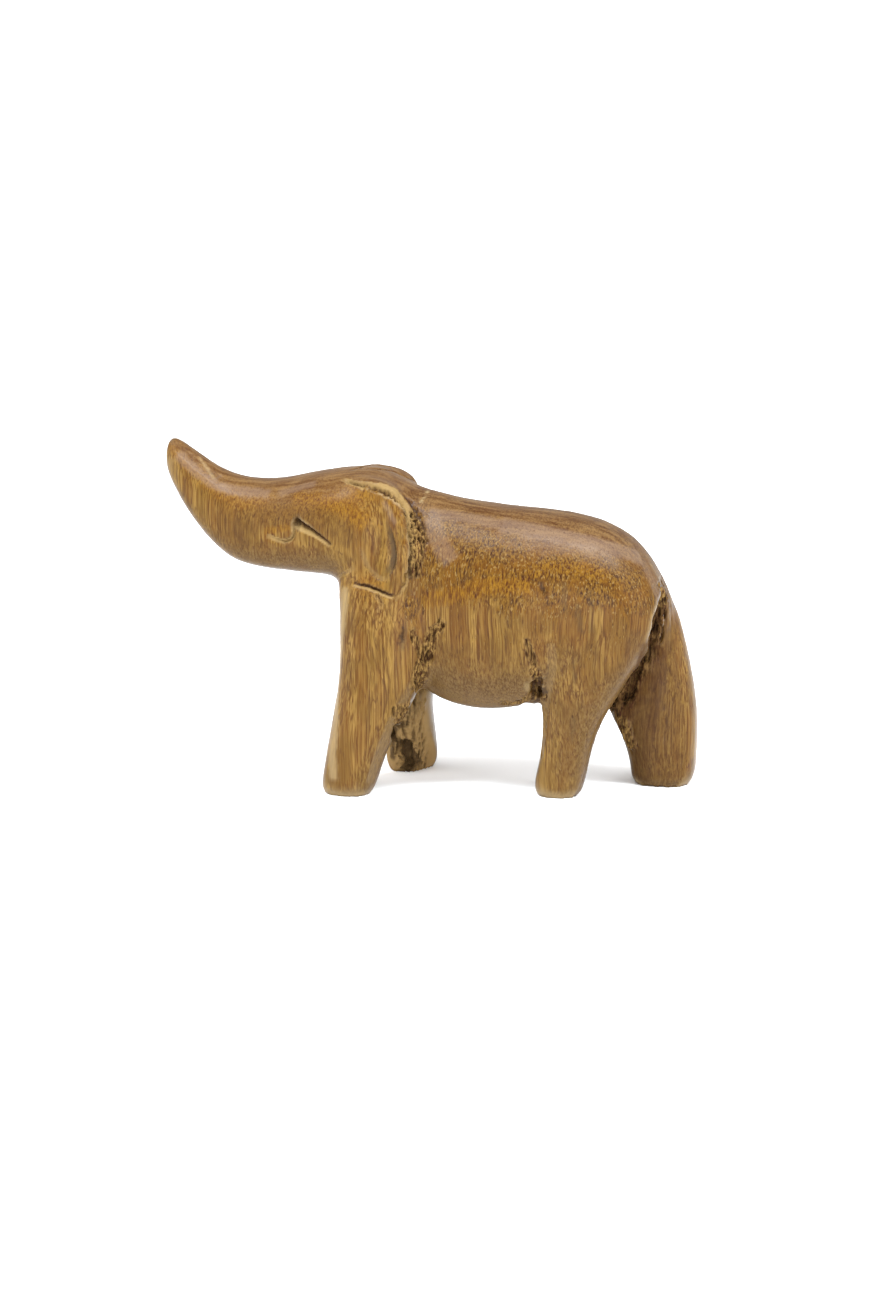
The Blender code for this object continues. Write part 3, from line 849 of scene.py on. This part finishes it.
def bare_wood(graph, noises):
    """Side grain that turns to glazed wood, end grain and the back's rings as the skin turns upward. The
    rings' lilac brown is partly a painted sheen.
    """
    height = graph.math("ADD", graph.tone("upward"), noises.ragged)
    glaze = graph.mix(graph.between(noises.streaks, 0.38, 0.62), seen(140, 94, 36), seen(176, 128, 62))
    glazed = graph.part(0.8, graph.between(height, 0.2, 0.42))
    wood = graph.mix(glazed, side_grain(graph, noises), glaze)
    stippled = graph.math("ADD", graph.tone("stippled"), graph.part(0.8, noises.ragged))
    wood = graph.mix(graph.between(stippled, 0.20, 0.30), wood, end_grain(graph, noises))
    # The back's top is painted a lilac brown, partly the wood's own colour and partly a painted sheen.
    top = graph.mix(graph.between(noises.rings, 0.36, 0.64), seen(108, 72, 42), seen(170, 132, 90))
    return graph.mix(graph.part(0.75, graph.between(height, 0.45, 0.75)), wood, top)


def aged_wood(graph, noises, wood):
    """The wood with its amber places, smoky places that are partly painted shade, an underside painted
    duller and darker as shade, milky places that are partly a painted sheen, and its open pores.
    """
    speckle = graph.between(noises.dashes, 0.3, 0.7)
    wood = graph.cover(wood, "amber", 0.65, graph.mix(speckle, seen(112, 66, 8), seen(194, 140, 44)))
    # Smoky brown, partly painted shade between the hind legs and low on the flank.
    wood = graph.cover(wood, "smoke_and_painted_shade", 0.65, graph.mix(speckle, seen(96, 64, 26), seen(154, 116, 64)))
    # Faces that look down are painted a darker, greyer brown: painted shade under the belly, trunk and head.
    underside_with_painted_shade = graph.mix(graph.between(noises.dashes, 0.4, 0.6), seen(122, 92, 58), seen(156, 124, 82))
    wood = graph.mix(graph.part(0.7, graph.between(graph.tone("downward"), 0.02, 0.4)), wood, underside_with_painted_shade)
    # A milky lilac over the wood where the back and trunk turn up: partly a real wax bloom, partly a painted
    # sheen.
    wood = graph.cover(wood, "bloom_and_painted_sheen", 0.45, seen(186, 158, 138))
    return graph.mix(graph.part(0.45, noises.pores), wood, seen(88, 56, 22))


def worked_wood(graph, noises, wood):
    """The wood with what the knife, the breaks and the wear have left, with painted light on some edges and
    on the broken far fore foot and painted shade in hollows and cuts, the darkest last.
    """
    wood = graph.cover(wood, "fresh", 0.85, seen(208, 172, 114))
    torn = graph.mix(graph.between(noises.dashes, 0.36, 0.62), seen(88, 56, 22), seen(204, 162, 98))
    wood = graph.cover(wood, "torn", 0.85, torn)
    # Paler worn edges. The strip down the near fore leg's front edge is painted light.
    wood = graph.cover(wood, "wear_and_painted_edge_light", 0.75, seen(222, 192, 142))
    # Darker in the hollows and between the hind legs: dirt, and painted shade.
    wood = graph.cover(wood, "dirt_and_painted_shade", 0.6, seen(92, 60, 26))
    # Painted fill light on the broken far fore foot, which lies in the shade under the belly.
    wood = graph.cover(wood, "pale_and_painted_fill", 0.5, seen(255, 206, 138))
    # Painted shade in cuts, holes and the deep gaps of torn wood.
    wood = graph.cover(wood, "painted_recess_shade", 0.8, seen(70, 44, 18))
    return graph.cover(wood, "stain", 0.6, seen(104, 88, 66))


def wax_roughness(graph, noises):
    """Satin wax, except on raw wood and where dirt and painted shade lie in the hollows."""
    raw = graph.math("MAXIMUM", graph.tone("torn"), graph.tone("fresh"))
    raw = graph.math("MAXIMUM", raw, graph.tone("dirt_and_painted_shade"))
    shine = graph.add("MapRange", {"Value": noises.dashes, "To Min": 0.28, "To Max": 0.42}).outputs[0]
    return graph.math("MAXIMUM", shine, graph.part(0.8, raw))


def grain_bump(graph, noises):
    relief = graph.math("ADD", graph.part(0.6, noises.fibres), graph.part(0.4, noises.dashes))
    relief = graph.math("SUBTRACT", relief, graph.part(0.5, noises.pores))
    return graph.add("Bump", {"Height": relief, "Strength": 0.5, "Distance": BUMP_HEIGHT * MM}).outputs[0]


def waxed_wood():
    material = bpy.data.materials.new("waxed_wood")
    graph = Graph(material)
    noises = wood_noises(graph)
    wood = bare_wood(graph, noises)
    wood = aged_wood(graph, noises, wood)
    wood = worked_wood(graph, noises, wood)
    inputs = {
        "Base Color": wood,
        "Roughness": wax_roughness(graph, noises),
        "Normal": grain_bump(graph, noises),
        "Specular IOR Level": SPECULAR,
    }
    shader = graph.add("BsdfPrincipled", inputs)
    graph.add("OutputMaterial", {"Surface": shader.outputs[0]})
    return material


# ---------------------------------------------------------------- the studio


def white_paper():
    material = bpy.data.materials.new("white_paper")
    material.use_nodes = True
    shader = material.node_tree.nodes["Principled BSDF"]
    shader.inputs["Base Color"].default_value = (PAPER, PAPER, PAPER, 1)
    shader.inputs["Roughness"].default_value = 0.9
    return material


def floor():
    mesh = bmesh.new()
    bmesh.ops.create_circle(mesh, cap_ends=True, segments=64, radius=FLOOR_RADIUS)
    data = bpy.data.meshes.new("studio_floor")
    mesh.to_mesh(data)
    mesh.free()
    made = bpy.data.objects.new("studio_floor", data)
    bpy.context.scene.collection.objects.link(made)
    data.materials.append(white_paper())


def soft_light(name, place, target, size, power, colour=(1, 1, 1)):
    """A rectangular light whose place and target are in metres."""
    data = bpy.data.lights.new(name, "AREA")
    data.shape = "RECTANGLE"
    data.size, data.size_y = size
    data.energy = power
    data.color = colour
    made = bpy.data.objects.new(name, data)
    made.location = place
    made.rotation_euler = (Vector(target) - Vector(place)).to_track_quat("-Z", "Y").to_euler()
    bpy.context.scene.collection.objects.link(made)


def white_tent():
    """Light from all round, brightest from above and from both ends, with a white background."""
    world = bpy.data.worlds.new("white_tent")
    graph = Graph(world)
    x, _, z = graph.add("SeparateXYZ", {0: graph.add("TexCoord").outputs["Generated"]}).outputs
    above = graph.part(TENT_ABOVE, graph.math("MAXIMUM", z, 0.0))
    ends = graph.part(TENT_ENDS, graph.math("MULTIPLY", x, x))
    light = graph.math("ADD", graph.math("ADD", above, ends), TENT_ROUND)
    backdrop = graph.add("LightPath").outputs["Is Camera Ray"]
    strength = graph.add("Mix", {0: backdrop, 2: light, 3: BACKDROP}).outputs[0]
    shade = graph.add("Background", {"Color": (1, 1, 1, 1), "Strength": strength}).outputs[0]
    graph.add("OutputWorld", {"Surface": shade})
    return world


def studio():
    floor()
    bpy.context.scene.world = white_tent()
    bpy.context.scene.view_settings.view_transform = "Standard"
    soft_light("overhead", (0.10, -0.26, 0.66), (0, 0, 0.04), (0.9, 0.06), 14.5, (0.86, 0.94, 1.0))
    soft_light("left_end", (-0.66, -0.38, 0.28), (0, 0, 0.04), (0.7, 0.9), 7.0)
    soft_light("right_end", (0.72, -0.24, 0.26), (0, 0, 0.04), (0.7, 0.9), 7.5)
    soft_light("low_front", (0.16, -0.90, 0.14), (0, 0, 0.02), (0.6, 0.3), 5.0)


def camera():
    data = bpy.data.cameras.new("camera")
    data.lens = CAMERA_LENS
    made = bpy.data.objects.new("camera", data)
    made.location = CAMERA_PLACE * MM
    made.rotation_euler = Vector(-CAMERA_BACK).to_track_quat("-Z", "Y").to_euler()
    bpy.context.scene.collection.objects.link(made)
    bpy.context.scene.camera = made


camera()
studio()
carving()
